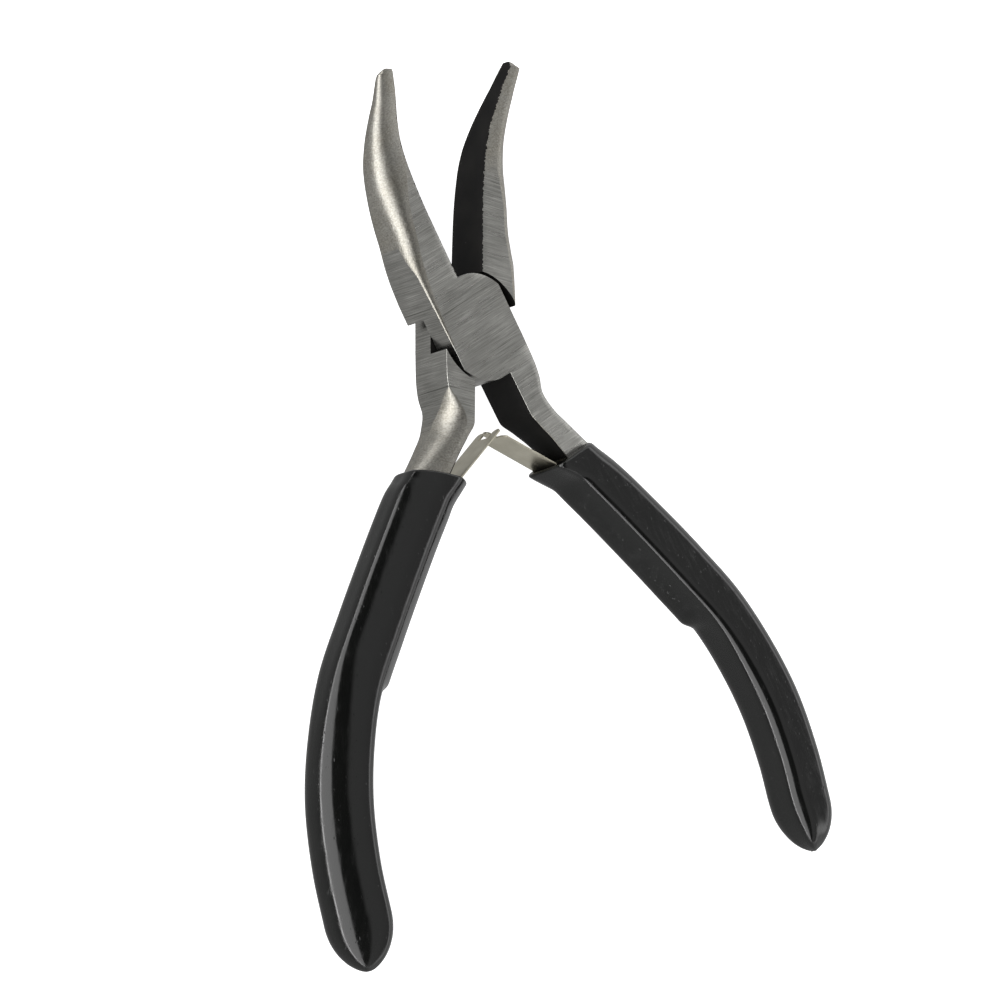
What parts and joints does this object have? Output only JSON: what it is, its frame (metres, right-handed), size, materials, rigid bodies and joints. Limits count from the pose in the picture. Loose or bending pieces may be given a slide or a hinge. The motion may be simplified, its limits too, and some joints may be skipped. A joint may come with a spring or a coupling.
{
  "type": "bent nose pliers",
  "caption": "Small lap joint pliers with a bent tapered nose, interlocked leaf return springs and dipped plastic sleeves on the handles.",
  "frame": {"origin": "on the joint axis, at the flat underside of the joint", "axes": "+Z along the joint axis, towards the side that the tips bend to; +Y from the joint to the jaws; +X to the right seen from +Z"},
  "size_m": [0.1002, 0.1201, 0.0123],
  "materials": {
    "steel": "satin ground steel, black oxide on the gripping faces and on the inner sides of the handles",
    "sleeve": "glossy dipped vinyl",
    "spring": "bright nickel spring strip"
  },
  "bodies": {
    "half_a": {"half_a": "steel", "grip_a": "sleeve", "spring_root_a": "spring", "spring_rivet_a": "steel", "pivot_rivet": "steel"},
    "half_b": {"half_b": "steel", "grip_b": "sleeve", "spring_root_b": "spring", "spring_rivet_b": "steel"},
    "leaf_a": {"spring_leaf_a": "spring"},
    "leaf_b": {"spring_leaf_b": "spring"}
  },
  "joints": [
    {"name": "jaw_pivot", "type": "hinge", "parent": "half_a", "child": "half_b", "pos_m": [0, 0, 0.0033], "axis": [0, 0, 1], "range_deg": [-5, 35.4], "stiffness_Nm_per_rad": 0.4},
    {"name": "leaf_a_bend", "type": "hinge", "parent": "half_a", "child": "leaf_a", "pos_m": [0.01332, -0.02283, 0.00335], "axis": [0, 0, 1], "range_deg": [-21, 4]},
    {"name": "leaf_b_bend", "type": "hinge", "parent": "half_b", "child": "leaf_b", "pos_m": [-0.01332, -0.02283, 0.00335], "axis": [0, 0, 1], "range_deg": [-4, 21]}
  ],
  "couplings": [
    {"joint": "leaf_a_bend", "follows": "jaw_pivot", "ratio": -0.55},
    {"joint": "leaf_b_bend", "follows": "jaw_pivot", "ratio": 0.55}
  ]
}
